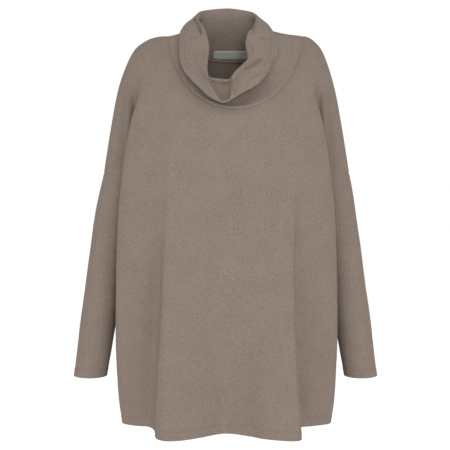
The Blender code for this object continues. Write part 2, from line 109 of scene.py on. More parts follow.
BACK_SECTIONS = (
    Section(-0.266, 0.140, 0.100, 0.138, 0.140, 0.124, 0.2045, 0.084, 0.152),
    Section(-0.360, 0.141, 0.102, 0.143, 0.142, 0.123, 0.2100, 0.080, 0.1725),
    Section(-0.460, 0.140, 0.105, 0.149, 0.143, 0.120, 0.2135, 0.073, 0.193),
    Section(-0.560, 0.137, 0.108, 0.155, 0.146, 0.114, 0.2145, 0.062, 0.206),
    Section(-0.650, 0.133, 0.112, 0.161, 0.149, 0.106, 0.2115, 0.052, 0.208),
    Section(-0.710, 0.130, 0.114, 0.165, 0.151, 0.099, 0.2095, 0.043, 0.208),
    Section(-0.752, 0.127, 0.116, 0.168, 0.153, 0.094, 0.2075, 0.037, 0.206),
)
BODY_PLACE_ANGLES = (0.0, 9.0, 20.0, 31.0, 54.0, 61.0, 66.0)
ARM_PLACE_ANGLES = (66.0, 71.0, 78.0, 84.0, 90.0)
SIDE_TUCK = 0.90
SLOPE_PLACE = 0.60
SLOPE_RISE = 0.86

# The ring round the arm at the sleeve seam, from the underarm point to the outside.
ARM_OUTER_X = 0.244
ARM_HALF_DEPTH = 0.045
ARM_OPENING_X = 0.018
ARM_OPENING_SHARE = 0.32
ARM_FRONT_X = 0.198
ARM_TURN_PLACE = 0.74
ARM_TURN_SHARE = 0.70

# Sections of a sleeve, with the inner and outer edge from the body's middle.
Cuff = namedtuple("Cuff", "height outer_x inner_x half_depth forward")
SLEEVE_SECTIONS = (
    Cuff(-0.262, 0.2440, 0.1565, 0.0450, 0.000),
    Cuff(-0.316, 0.2550, 0.1700, 0.0420, 0.000),
    Cuff(-0.396, 0.2670, 0.1905, 0.0385, 0.001),
    Cuff(-0.460, 0.2755, 0.2035, 0.0365, 0.002),
    Cuff(-0.516, 0.2830, 0.2120, 0.0350, 0.003),
    Cuff(-0.560, 0.2890, 0.2195, 0.0340, 0.004),
    Cuff(-0.620, 0.2955, 0.2295, 0.0325, 0.006),
    Cuff(-0.664, 0.3005, 0.2370, 0.0315, 0.008),
)
SLEEVE_CENTRE_X = 0.001
SLEEVE_BLEND = 0.10

# Stations round the collar, from the back past the wearer's right, the front and the left: the
# crest of the roll and the edge of the fall. Bearings are from the front to the wearer's left.
Station = namedtuple(
    "Station",
    "step crest_bearing crest_out crest_z edge_bearing edge_out edge_z",
)
COLLAR_STATIONS = (
    Station(0, -180, 0.0760, 0.0723, -180, 0.1120, 0.0000),
    Station(1, -144, 0.0800, 0.0670, -146, 0.1100, 0.0020),
    Station(2, -122, 0.0700, 0.0580, -116, 0.1010, 0.0140),
    Station(3, -108, 0.0623, 0.0505, -93, 0.0935, 0.0200),
    Station(4, -84, 0.0505, 0.0350, -77, 0.0985, -0.0060),
    Station(5, -62, 0.0490, 0.0130, -67, 0.1030, -0.0247),
    Station(6, -47, 0.0545, -0.0070, -56.4, 0.1085, -0.0470),
    Station(7, -40, 0.0650, -0.0250, -47.6, 0.1113, -0.0650),
    Station(8, -34.6, 0.0753, -0.0460, -38, 0.1135, -0.0790),
    Station(9, -29, 0.0823, -0.0630, -28, 0.1170, -0.0930),
    Station(10, -23, 0.0870, -0.0735, -16, 0.1235, -0.1120),
    Station(11, -11, 0.0800, -0.0765, -4, 0.1305, -0.1225),
    Station(12, 2.5, 0.0805, -0.0765, 3.5, 0.1275, -0.1165),
    Station(13, 11.4, 0.0730, -0.0630, 13, 0.1211, -0.1045),
    Station(14, 24, 0.0690, -0.0500, 27, 0.1146, -0.0910),
    Station(15, 36, 0.0684, -0.0370, 43, 0.1102, -0.0690),
    Station(16, 43, 0.0640, -0.0220, 56, 0.1075, -0.0500),
    Station(17, 49, 0.0535, -0.0040, 66, 0.1066, -0.0330),
    Station(18, 62, 0.0465, 0.0118, 77, 0.1040, -0.0120),
    Station(19, 84, 0.0475, 0.0275, 87, 0.1004, 0.0070),
    Station(20, 108, 0.0600, 0.0500, 97, 0.0925, 0.0190),
    Station(21, 126, 0.0690, 0.0580, 120, 0.1010, 0.0130),
    Station(22, 147, 0.0760, 0.0660, 148, 0.1100, 0.0030),
)
SEAM_STRIP = 0.004
STRIP_STEP = 0.22
CREST_REACH = 0.35
KNEE_SHARE = 0.5
KNEE_RISE = 0.22
ROLL_RADIUS = 0.006
ROLL_INSIDE = (0.6, 2.0)
ROLL_OUTSIDE = (1.0, 0.7)
FALL_BULGE = 0.003
VALLEY_AT_ROLL = (9.8, 12.15)
VALLEY_AT_EDGE = (10.9, 11.8)
VALLEY_DEPTH = 0.021
VALLEY_SOFTNESS = 0.09
VALLEY_SWELL = (0.22, 0.76)
VALLEY_AT_CREST = 0.45
VALLEY_LIP = 0.0042
VALLEY_LIP_WIDTH = 0.22
VALLEY_RUN_IN = 20
LABEL_STEPS = (22.51, 23.56)
LABEL_HEIGHTS = (-0.029, -0.0125)


def even(count):
    """Even shares of a stretch, up to its end."""
    return tuple((index + 1) / count for index in range(count))


def closing(count, closest=0.95):
    """Shares that come closer together at the end of a stretch, for a seam's groove."""
    return even(count)[:-1] + (mix_shares(even(count)[-2], closest), closest, 0.98, 1.0)


def mix_shares(low, high):
    """Halfway between two shares."""
    return (low + high) / 2.0


# How finely the cloth is divided: columns of a half section, rows down to the sleeve seam, rows
# down to the hem, and the rows of a hem by their distance from its edge.
BODY_COLUMNS = (even(7), even(9), even(8), even(12), even(6), closing(5))
ARM_COLUMNS = (even(5), even(5), even(4), closing(4))
SEAM_STEPS = (0.0, 0.07, 0.15, 0.24, 0.36, 0.5)
UPPER_STEPS = SEAM_STEPS + tuple(0.5 + 0.2 * (i + 1) for i in range(35)) + (7.68, 7.82, 7.9, 7.95, 7.98, 8.0)
HEM_ROWS = (0.030, 0.025, 0.0215, 0.0195, 0.0175, 0.0155, 0.0135, 0.009, 0.0045, 0.0015, 0.0)
BODY_LENGTH = 0.486
LOWER_ROWS = (0.008, 0.02, 0.036)
LOWER_EVEN_ROWS = 52
SLEEVE_LENGTH = 0.402
SLEEVE_FIRST_ROWS = (0.0, 0.003, 0.006, 0.011, 0.018, 0.03)
SLEEVE_EVEN_ROWS = 46
COLLAR_COLUMNS = 14
COLLAR_ROWS = (even(3), even(9), even(10), even(4), even(4), even(10), even(12) + ())
FALL_START = 30

NECK_LIGHT_ANGLE = 9.0

# Hems and seams.
SEAM_SINK = 0.0009
SEAM_WIDTH = 0.0018
SEAM_HOLD = 0.014
HEM_FOLD = 0.0165
HEM_PROUD = 0.0004
HEM_GROOVE = 0.0006
FAR = 1.0

# Creases as soft lines on the cloth, seen from the front or back: start, bend and end as x and z,
# then how wide it is and how far it stands out. Where the last number is negative it is a trough.
Crease = namedtuple("Crease", "x_start z_start x_bend z_bend x_end z_end width depth")
FRONT_CREASES = (
    Crease(-0.103, -0.160, -0.1105, -0.510, -0.134, -0.900, 0.006, 0.0046),
    Crease(-0.128, -0.330, -0.136, -0.560, -0.156, -0.800, 0.012, -0.0120),
    Crease(0.134, -0.160, 0.118, -0.480, 0.149, -0.900, 0.006, 0.0032),
    Crease(0.143, -0.280, 0.130, -0.520, 0.155, -0.800, 0.008, -0.0100),
    Crease(-0.050, -0.600, -0.054, -0.680, -0.062, -0.800, 0.014, -0.0028),
    Crease(0.036, -0.620, 0.050, -0.690, 0.054, -0.780, 0.012, -0.0022),
    Crease(-0.085, -0.190, -0.120, -0.240, -0.140, -0.330, 0.018, -0.0014),
    Crease(0.095, -0.180, 0.120, -0.230, 0.138, -0.320, 0.018, -0.0014),
    Crease(-0.195, -0.050, -0.196, -0.160, -0.211, -0.330, 0.006, -0.0060),
    Crease(0.201, -0.050, 0.201, -0.160, 0.217, -0.330, 0.006, -0.0060),
)
BACK_CREASES = (
    Crease(-0.055, -0.260, -0.066, -0.480, -0.070, -0.770, 0.026, -0.0055),
    Crease(0.048, -0.320, 0.058, -0.520, 0.054, -0.770, 0.024, -0.0050),
    Crease(-0.006, -0.420, 0.004, -0.580, 0.000, -0.770, 0.018, 0.0030),
    Crease(-0.139, -0.380, -0.145, -0.580, -0.152, -0.770, 0.013, -0.0050),
    Crease(0.140, -0.360, 0.147, -0.560, 0.154, -0.770, 0.012, -0.0055),
    Crease(-0.120, -0.130, -0.145, -0.190, -0.152, -0.290, 0.016, -0.0016),
    Crease(0.124, -0.120, 0.148, -0.190, 0.156, -0.280, 0.016, -0.0016),
)
SLEEVE_CREASES = (
    Crease(0.195, -0.400, 0.225, -0.418, 0.250, -0.410, 0.007, -0.0012),
    Crease(0.205, -0.440, 0.232, -0.462, 0.262, -0.458, 0.008, -0.0015),
    Crease(0.222, -0.520, 0.250, -0.508, 0.278, -0.520, 0.008, -0.0011),
    Crease(0.232, -0.580, 0.250, -0.600, 0.278, -0.604, 0.008, -0.0010),
)
COLLAR_CREASES = (
    Crease(0.0741, -0.0300, 0.0570, -0.0437, 0.0330, -0.0570, 0.005, -0.0110),
    Crease(0.0660, -0.0130, 0.0532, -0.0260, 0.0440, -0.0420, 0.007, 0.0030),
    Crease(0.1000, -0.0180, 0.0990, -0.0640, 0.0560, -0.0900, 0.0040, -0.0080),
    Crease(0.0520, -0.0780, 0.0700, -0.0790, 0.0850, -0.0620, 0.004, 0.0060),
    Crease(0.0600, -0.0900, 0.0760, -0.0850, 0.0880, -0.0730, 0.0035, -0.0060),
    Crease(-0.0800, 0.0120, -0.0620, 0.0060, -0.0440, 0.0120, 0.003, -0.0022),
    Crease(0.0560, 0.0060, 0.0760, 0.0100, 0.0980, 0.0040, 0.003, -0.0022),
    Crease(-0.0640, 0.0560, -0.0530, 0.0380, -0.0440, 0.0100, 0.0045, -0.0070),
    Crease(0.0650, 0.0560, 0.0580, 0.0360, 0.0510, 0.0120, 0.0045, -0.0070),
    Crease(-0.0600, -0.0100, -0.0640, -0.0500, -0.0400, -0.0880, 0.012, 0.0022),
    Crease(-0.0400, 0.0000, -0.0440, -0.0450, -0.0300, -0.0800, 0.005, 0.0028),
)
COLLAR_INSIDE_CREASES = (
    Crease(-0.058, 0.050, -0.052, 0.030, -0.050, 0.010, 0.010, -0.0050),
    Crease(0.064, 0.054, 0.058, 0.036, 0.054, 0.016, 0.010, -0.0050),
    Crease(-0.030, 0.066, -0.020, 0.040, -0.016, 0.010, 0.012, 0.0020),
)
CREASE_POINTS = 14
CREASE_UNEVEN = 0.35
SOFTNESS = 0.0006


def mix(low, high, share):
    """The value a share of the way from low to high."""
    return low + (high - low) * share


def smooth_step(low, high, value):
    """0 below low, 1 above high, and a soft turn between them."""
    share = min(max((value - low) / (high - low), 0.0), 1.0)
    return share * share * (3.0 - 2.0 * share)


def row_at(table, position):
    """Every column of a table at a position along its first one, on a smooth curve."""
    rows = table if table[0][0] < table[-1][0] else table[::-1]
    index = 0
    while index < len(rows) - 2 and position > rows[index + 1][0]:
        index += 1
    start, end = rows[index], rows[index + 1]
    before = rows[max(index - 1, 0)]
    after = rows[min(index + 2, len(rows) - 1)]
    width = end[0] - start[0]
    lead = width / (end[0] - before[0])
    trail = width / (after[0] - start[0])
    share = (position - start[0]) / width
    square, cube = share**2, share**3
    values = []
    for a, b, c, d in zip(before, start, end, after):
        values.append(
            (2.0 * cube - 3.0 * square + 1.0) * b
            + (cube - 2.0 * square + share) * (c - a) * lead
            + (3.0 * square - 2.0 * cube) * c
            + (cube - square) * (d - b) * trail
        )
    return type(start)(*values)


def curve_through(places, before, after, columns):
    """Points on a smooth curve through the places, at the given shares of each stretch."""
    chain = [before, *places, after]
    points = [places[0].copy()]
    for index, shares in enumerate(columns):
        a, b, c, d = chain[index : index + 4]
        knot_b = (b - a).length ** 0.5
        knot_c = knot_b + (c - b).length ** 0.5
        knot_d = knot_c + (d - c).length ** 0.5
        for share in shares:
            at = mix(knot_b, knot_c, share)
            ab = a.lerp(b, at / knot_b)
            bc = b.lerp(c, (at - knot_b) / (knot_c - knot_b))
            cd = c.lerp(d, (at - knot_c) / (knot_d - knot_c))
            low = ab.lerp(bc, at / knot_c)
            high = bc.lerp(cd, (at - knot_b) / (knot_d - knot_b))
            points.append(low.lerp(high, (at - knot_b) / (knot_c - knot_b)))
    return points


def column_angles(place_angles, columns):
    """The ring angle of every column of a half section."""
    angles = [place_angles[0]]
    for index, shares in enumerate(columns):
        for share in shares:
            angles.append(mix(place_angles[index], place_angles[index + 1], share))
    return angles


ARM_ANGLES = column_angles(ARM_PLACE_ANGLES, ARM_COLUMNS)
RING_ANGLES = column_angles(BODY_PLACE_ANGLES, BODY_COLUMNS) + ARM_ANGLES[1:]


def ring_point(ring, face, side, angle):
    """A point on a slanted ring. face is -1 at the front, side is -1 on the wearer's right."""
    across = math.sin(math.radians(angle)) ** (2.0 / ring.squareness)
    cosine = max(math.cos(math.radians(angle)), 0.0)
    along = cosine ** (2.0 / ring.squareness)
    soft = math.hypot(cosine, ring.roundness) - ring.roundness
    slant = soft / (math.hypot(1.0, ring.roundness) - ring.roundness)
    depth, low = (ring.front_y, ring.front_z) if face < 0 else (ring.back_y, ring.back_z)
    return Vector(
        (
            ring.centre_x + side * ring.side_x * across,
            face * depth * along,
            mix(ring.side_z, low, slant),
        )
    )


def half_section(section):
    """Plan points of a half section from the middle to the side seam, as x and depth."""
    middle = Vector((0.0, section.middle_y))
    slope = Vector((section.turn_x * SLOPE_PLACE, mix(section.middle_y, section.turn_y, SLOPE_RISE)))
    turn = Vector((section.turn_x, section.turn_y))
    foot = Vector((section.foot_x, section.foot_y))
    edge = Vector((section.edge_x, section.edge_y))
    side = Vector((mix(section.edge_x, section.seam_x, SIDE_TUCK), section.edge_y * 0.5))
    seam = Vector((section.seam_x, 0.0))
    places = [middle, slope, turn, foot, edge, side, seam]
    before = Vector((-slope.x, slope.y))
    after = Vector((side.x, -side.y))
    return curve_through(places, before, after, BODY_COLUMNS)


def arm_section(seam_x):
    """Plan points round half of the arm, from the underarm point to the outside."""
    places = [
        Vector((seam_x, 0.0)),
        Vector((seam_x + ARM_OPENING_X, ARM_HALF_DEPTH * ARM_OPENING_SHARE)),
        Vector((ARM_FRONT_X, ARM_HALF_DEPTH)),
        Vector((mix(ARM_FRONT_X, ARM_OUTER_X, ARM_TURN_PLACE), ARM_HALF_DEPTH * ARM_TURN_SHARE)),
        Vector((ARM_OUTER_X, 0.0)),
    ]
    before = places[0] * 2.0 - places[1]
    after = Vector((places[3].x, -places[3].y))
    return curve_through(places, before, after, ARM_COLUMNS)


def sections_of(face, side):
    """The table of half sections on one side of the front or back."""
    if face > 0:
        return BACK_SECTIONS
    return FRONT_LEFT_SECTIONS if side > 0 else FRONT_RIGHT_SECTIONS


def underarm_row(face, side):
    """The half row at the sleeve seam, round the body and then round the arm."""
    table = sections_of(face, side)
    plan = half_section(table[0]) + arm_section(table[0].seam_x)[1:]
    row = []
    for point, angle in zip(plan, RING_ANGLES):
        height = ring_point(RINGS[-1], face, side, angle).z
        row.append(Vector((BODY_CENTRE_X + side * point.x, face * point.y, height)))
    return row


def upper_row(face, side, step, folded):
    """A half row of the upper body, from the middle to the shoulder seam."""
    ring = row_at(RINGS, step)
    row = []
    for angle, target in zip(RING_ANGLES, folded):
        shift = target - ring_point(RINGS[-1], face, side, angle)
        row.append(ring_point(ring, face, side, angle) + shift * ring.fold)
    return row


def lower_row(face, side, share, top):
    """A half row below the arm, at a share of the way from the underarm to the hem."""
    section = row_at(sections_of(face, side), mix(UNDERARM_HEIGHT, HEM_HEIGHT, share))
    row = []
    for point, start in zip(half_section(section), top):
        height = mix(start.z, HEM_HEIGHT, share)
        row.append(Vector((BODY_CENTRE_X + side * point.x, face * point.y, height)))
    return row


def with_hem(first, count, length):
    """Shares of a length down to a hem, with closer rows at its fold and stitching."""
    start, end = first[-1], 1.0 - HEM_ROWS[0] / length
    shares = list(first)
    shares += [mix(start, end, (index + 1) / count) for index in range(count - 1)]
    return shares + [1.0 - distance / length for distance in HEM_ROWS]


def panel_rows(face):
    """All rows of the front or back. Below the arm the columns past the side seam are empty."""
    tops = {side: underarm_row(face, side) for side in (-1, 1)}
    rows = []
    for step in UPPER_STEPS:
        right = upper_row(face, -1, step, tops[-1])
        left = upper_row(face, 1, step, tops[1])
        rows.append(right[:0:-1] + left)
    spare = [None] * (len(ARM_ANGLES) - 1)
    for share in with_hem(LOWER_ROWS, LOWER_EVEN_ROWS, BODY_LENGTH):
        right = lower_row(face, -1, share, tops[-1])
        left = lower_row(face, 1, share, tops[1])
        rows.append(spare + right[:0:-1] + left + spare)
    arm = len(ARM_ANGLES) - 1
    for column in (arm, len(rows[0]) - 1 - arm):
        rows[len(UPPER_STEPS) - 1][column].y += face * UNDERARM_EASE
    return rows


def half_oval(section, turns):
    """Plan points round half of a sleeve, from its inner to its outer edge."""
    middle = mix(section.outer_x, section.inner_x, 0.5)
    reach = section.outer_x - middle
    return [
        Vector((middle - reach * math.cos(turn), section.half_depth * math.sin(turn)))
        for turn in turns
    ]


def sleeve_rows(side):
    """Rings of one sleeve, which ease from the ring at its seam to the ovals down to the cuff."""
    first = SLEEVE_SECTIONS[0]
    arm = arm_section(BACK_SECTIONS[0].seam_x)
    arm[0].x = first.inner_x
    turns = [math.pi * index / (len(arm) - 1) for index in range(len(arm))]
    offsets = [point - oval for point, oval in zip(arm, half_oval(first, turns))]
    rows = []
    for share in with_hem(SLEEVE_FIRST_ROWS, SLEEVE_EVEN_ROWS, SLEEVE_LENGTH):
        height = mix(first.height, CUFF_HEIGHT, share)
        section = row_at(SLEEVE_SECTIONS, height)
        keep = 1.0 - smooth_step(0.0, SLEEVE_BLEND, first.height - height)
        centre_x = mix(SLEEVE_CENTRE_X, BODY_CENTRE_X, keep)
        row = []
        for face in (-1, 1):
            half = []
            for oval, offset, angle in zip(half_oval(section, turns), offsets, ARM_ANGLES):
                plan = oval + offset * keep
                level = ring_point(RINGS[-1], face, side, angle).z - first.height
                depth = face * plan.y - section.forward
                half.append(Vector((centre_x + side * plan.x, depth, height + level * keep)))
            row += half if face < 0 else half[-2:0:-1]
        rows.append(row)
    return rows


def laps():
    """The collar's stations three times round, so that a curve through them closes."""
    count = len(COLLAR_STATIONS)
    rows = []
    for lap in (-1, 0, 1):
        for station in COLLAR_STATIONS:
            rows.append(
                station._replace(
                    step=station.step + lap * count,
                    crest_bearing=station.crest_bearing + lap * 360.0,
                    edge_bearing=station.edge_bearing + lap * 360.0,
                )
            )
    return tuple(rows)


COLLAR_LAPS = laps()


def round_neck(bearing, out, height):
    """A point at a bearing, a distance and a height from the neck's axis."""
    heading = math.radians(bearing)
    return NECK_AXIS + Vector((math.sin(heading) * out, -math.cos(heading) * out, height))


def crest_at(step):
    """The top of the roll at a step."""
    station = row_at(COLLAR_LAPS, step)
    return round_neck(station.crest_bearing, station.crest_out, station.crest_z)


def neckline_point(bearing, step):
    """A point of the body's ring at a bearing: step 0 is the collar seam itself."""
    turned = (bearing + 180.0) % 360.0 - 180.0
    face = -1 if abs(turned) <= 90.0 else 1
    side = 1 if turned >= 0.0 else -1
    angle = abs(turned) if face < 0 else 180.0 - abs(turned)
    return ring_point(row_at(RINGS, step), face, side, angle)


def valley_depth(step, share):
    """How far the fall is set back between its two halves, at a share of its length."""
    right = mix(VALLEY_AT_ROLL[0], VALLEY_AT_EDGE[0], share)
    left = mix(VALLEY_AT_ROLL[1], VALLEY_AT_EDGE[1], share)
    inside = smooth_step(right - VALLEY_SOFTNESS, right + VALLEY_SOFTNESS, step)
    inside *= 1.0 - smooth_step(left - VALLEY_SOFTNESS, left + VALLEY_SOFTNESS, step)
    lips = math.exp(-(((step - right) / VALLEY_LIP_WIDTH + 1.0) ** 2))
    lips += math.exp(-(((step - left) / VALLEY_LIP_WIDTH - 1.0) ** 2))
    swell = mix(VALLEY_AT_CREST, 1.0, smooth_step(0.0, VALLEY_SWELL[0], share))
    swell *= 1.0 - smooth_step(VALLEY_SWELL[1], 1.0, share)
    return (VALLEY_DEPTH * inside - VALLEY_LIP * lips) * swell


def collar_column(step):
    """Points of one column from the seam up to the roll and down the fall to its edge."""
    station = row_at(COLLAR_LAPS, step)
    up = Vector((0.0, 0.0, 1.0))
    along = crest_at(step + CREST_REACH) - crest_at(step - CREST_REACH)
    out = along.cross(up).normalized()
    seam = neckline_point(station.edge_bearing, 0.0)
    strip = seam + (seam - neckline_point(station.edge_bearing, STRIP_STEP)).normalized() * SEAM_STRIP
    crest = crest_at(step)
    edge = round_neck(station.edge_bearing, station.edge_out, station.edge_z)
    away = Vector((edge.x - NECK_AXIS.x, edge.y - NECK_AXIS.y, 0.0)).normalized()
    knee = seam.lerp(crest, KNEE_SHARE)
    knee.z = mix(seam.z, crest.z, KNEE_RISE)
    inside = crest - (out * ROLL_INSIDE[0] + up * ROLL_INSIDE[1]) * ROLL_RADIUS
    outside = crest + (out * ROLL_OUTSIDE[0] - up * ROLL_OUTSIDE[1]) * ROLL_RADIUS
    middle = outside.lerp(edge, 0.5) + (away + up) * FALL_BULGE
    places = [seam, strip, knee, inside, crest, outside, middle, edge]
    points = curve_through(places, seam * 2.0 - strip, edge * 2.0 - middle, COLLAR_ROWS)
    fall = len(points) - FALL_START
    for index in range(FALL_START - VALLEY_RUN_IN, len(points)):
        share = max(index - FALL_START + 1, 0) / fall
        run_in = smooth_step(FALL_START - VALLEY_RUN_IN, FALL_START, index)
        points[index] -= away * valley_depth(step, share) * run_in
    return points


def collar_rows():
    """Rows of the collar from its seam over the roll to the edge of its fall, all round."""
    count = len(COLLAR_STATIONS) * COLLAR_COLUMNS
    columns = [collar_column(index / COLLAR_COLUMNS) for index in range(count)]
    return [list(row) for row in zip(*columns)]


# Creases, seams and hems.


def neighbour(rows, row, column, closed):
    """The point at a place of a sheet, or None past its end."""
    if not 0 <= row < len(rows):
        return None
    if closed:
        return rows[row][column % len(rows[row])]
    return rows[row][column] if 0 <= column < len(rows[row]) else None


def normal_at(rows, row, column, closed, turn):
    """The unit normal of a sheet at a place, on the side that turn picks with 1 or -1."""
    here = rows[row][column]
    before = neighbour(rows, row, column - 1, closed) or here
    after = neighbour(rows, row, column + 1, closed) or here
    above = neighbour(rows, row - 1, column, closed) or here
    below = neighbour(rows, row + 1, column, closed) or here
    return (after - before).cross(below - above).normalized() * turn


def pressed(rows, closed, turn, depth_at):
    """The rows with every point moved along its normal by depth_at(row, column, point)."""
    moved = []
    for row, points in enumerate(rows):
        line = []
        for column, point in enumerate(points):
            if point is None:
                line.append(None)
                continue
            normal = normal_at(rows, row, column, closed, turn)
            line.append(point + normal * depth_at(row, column, point))
        moved.append(line)
    return moved


def crease_line(crease):
    """Points on a crease's soft line, with how strong it is at each: it fades in and out."""
    line = []
    for index in range(CREASE_POINTS):
        share = index / (CREASE_POINTS - 1)
        x = mix(mix(crease.x_start, crease.x_bend, share), mix(crease.x_bend, crease.x_end, share), share)
        z = mix(mix(crease.z_start, crease.z_bend, share), mix(crease.z_bend, crease.z_end, share), share)
        uneven = 1.0 + CREASE_UNEVEN * noise.noise(Vector((x * 30.0, z * 14.0, crease.width * 90.0)))
        fade = smooth_step(0.0, 0.3, share) * (1.0 - smooth_step(0.75, 1.0, share))
        line.append((x, z, fade * uneven))
    return line


def crease_relief(creases):
    """A function that gives how far the creases push a point of the cloth out or in."""
    lines = [(crease, crease_line(crease)) for crease in creases]

    def relief(x, z):
        total = 0.0
        for crease, line in lines:
            nearest, strength = FAR, 0.0
            for (x0, z0, s0), (x1, z1, s1) in zip(line, line[1:]):
                run_x, run_z = x1 - x0, z1 - z0
                share = ((x - x0) * run_x + (z - z0) * run_z) / (run_x * run_x + run_z * run_z)
                share = min(max(share, 0.0), 1.0)
                distance = math.hypot(x - x0 - run_x * share, z - z0 - run_z * share)
                if distance < nearest:
                    nearest, strength = distance, mix(s0, s1, share)
            if nearest < crease.width * 3.0:
                total += crease.depth * strength * math.exp(-((nearest / crease.width) ** 2))
        return total

    return relief


def softness(point):
    """The slight unevenness that soft cloth has between its creases."""
    broad = noise.noise(point * 14.0)
    fine = noise.noise(point * 41.0 + Vector((3.0, 7.0, 1.0)))
    return SOFTNESS * (broad + 0.4 * fine)


def hem_relief(distance):
    """How far a hem stands out at a distance from its edge: two layers, and the stitching's pull."""
    proud = HEM_PROUD * (1.0 - smooth_step(HEM_FOLD, HEM_FOLD + 0.003, distance))
    return proud - HEM_GROOVE * math.exp(-(((distance - HEM_FOLD) / 0.0016) ** 2))


def seam_relief(distance):
    """How far the cloth is drawn in at a distance from a sewn seam."""
    return -SEAM_SINK * math.exp(-((distance / SEAM_WIDTH) ** 2))


def seam_hold(distance):
    """0 on a seam and 1 away from it: a seam holds the cloth flat, so that its pieces meet."""
    return smooth_step(0.0, SEAM_HOLD, distance)


def lengths_along(points):
    """The length along a line of points up to each one. Empty places have None."""
    total, last, lengths = 0.0, None, []
    for point in points:
        if point is None:
            lengths.append(None)
            continue
        if last is not None:
            total += (point - last).length
        last = point
        lengths.append(total)
    return lengths


def panel_distances(rows):
    """How far each point of a panel is from its nearest seam, and from the hem."""
    underarm, arm, last = len(UPPER_STEPS) - 1, len(ARM_ANGLES) - 1, len(rows[0]) - 1
    down = [lengths_along([row[column] for row in rows]) for column in range(last + 1)]
    sewn, hem = [], []
    for index, row in enumerate(rows):
        across = lengths_along(row)
        total = max(length for length in across if length is not None)
        sewn_row, hem_row = [], []
        for column, length in enumerate(across):
            if length is None:
                sewn_row.append(FAR)
                hem_row.append(FAR)
                continue
            nearest = min(down[column][index], length, total - length)
            over_arm = column <= arm or column >= last - arm
            if over_arm and index <= underarm:
                nearest = min(nearest, down[column][underarm] - down[column][index])
            sewn_row.append(nearest)
            hem_row.append(FAR if down[column][-1] is None else down[column][-1] - down[column][index])
        sewn.append(sewn_row)
        hem.append(hem_row)
    return sewn, hem


# Meshes and materials.


def cloth_sheet(name, rows, closed, edges, places):
    """A piece from a flat grid whose points are moved to the rows. Empty places leave a notch.

    edges has each point's distance from a hem, for its stitching, and places has its place on the
    flat cloth in metres, for the knit.
    """
    if closed:
        rows = [row + row[:1] for row in rows]
        edges = [row + row[:1] for row in edges]
    tall, wide = len(rows), len(rows[0])
    shape = bmesh.new()
    bmesh.ops.create_grid(shape, x_segments=wide - 1, y_segments=tall - 1, size=1.0)
    shape.verts.ensure_lookup_table()
    cloth = shape.loops.layers.uv.new("cloth")
    hem = shape.verts.layers.float.new("hem_distance")
    empty = []
    for vertex in shape.verts:
        row, column = divmod(vertex.index, wide)
        vertex[hem] = edges[row][column]
        for loop in vertex.link_loops:
            loop[cloth].uv = places[row][column]
        if rows[row][column] is None:
            empty.append(vertex)
        else:
            vertex.co = rows[row][column]
    bmesh.ops.delete(shape, geom=empty, context="VERTS")
    if closed:
        bmesh.ops.remove_doubles(shape, verts=shape.verts, dist=1e-6)
    mesh = bpy.data.meshes.new(name)
    shape.to_mesh(mesh)
    shape.free()
    mesh.shade_smooth()
    piece = bpy.data.objects.new(name, mesh)
    bpy.context.scene.collection.objects.link(piece)
    return piece


def give_wall(piece, thickness):
    """The cloth's thickness, half to each side of its sheet."""
    wall = piece.modifiers.new("cloth", "SOLIDIFY")
    wall.thickness = thickness
    wall.offset = 0.0
    wall.use_quality_normals = True


def tube_places(rows):
    """Places on the flat cloth of a tube: round its middle row and down each column."""
    ring = rows[len(rows) // 2]
    round_it = lengths_along(ring + ring[:1])
    count = len(ring)
    down = [lengths_along([row[column] for row in rows]) for column in range(count)]
    return [
        [(round_it[column], down[column % count][index]) for column in range(count + 1)]
        for index in range(len(rows))
    ]


def panel_places(rows):
    """Places on the flat cloth of a panel: the knit runs straight down it and round its folds."""
    middle = len(rows[0]) // 2
    places = []
    for row in rows:
        centre = row[middle]
        line = []
        for column, point in enumerate(row):
            if point is None:
                line.append((0.0, 0.0))
                continue
            side = 1.0 if column >= middle else -1.0
            line.append((point.x + side * 0.8 * abs(point.y - centre.y), point.z))
        places.append(line)
    return places


def linear(text):
    """The linear colour of an sRGB hex value."""
    levels = [int(text[index : index + 2], 16) / 255.0 for index in (0, 2, 4)]
    return tuple(v / 12.92 if v <= 0.04045 else ((v + 0.055) / 1.055) ** 2.4 for v in levels)


def add_node(tree, kind, settings=None, inputs=None):
    """A node with its settings, and each input linked to a socket or set to a value."""
    node = tree.nodes.new(kind)
    for name, value in (settings or {}).items():
        setattr(node, name, value)
    for key, value in (inputs or {}).items():
        socket = node.inputs[key]
        if isinstance(value, bpy.types.NodeSocket):
            tree.links.new(value, socket)
        else:
            socket.default_value = value
    return node


def sums(tree, operation, *values):
    """The output of a node that does one sum."""
    inputs = dict(enumerate(values))
    return add_node(tree, "ShaderNodeMath", {"operation": operation}, inputs).outputs[0]


def new_material(name):
    """A material's node tree and its shader."""
    material = bpy.data.materials.new(name)
    material.use_nodes = True
    return material, material.node_tree, material.node_tree.nodes["Principled BSDF"]


# Real wales are about 1.3 mm wide and the courses 1 mm high. They are drawn at twice that, because
# at their own size they would be finer than a pixel of the picture.
WALE_WIDTH = 0.0026
COURSE_HEIGHT = 0.0020
STITCH_LENGTH = 0.0030
HEATHER_SIZE = 0.0026
CLOUD_SIZE = 0.045


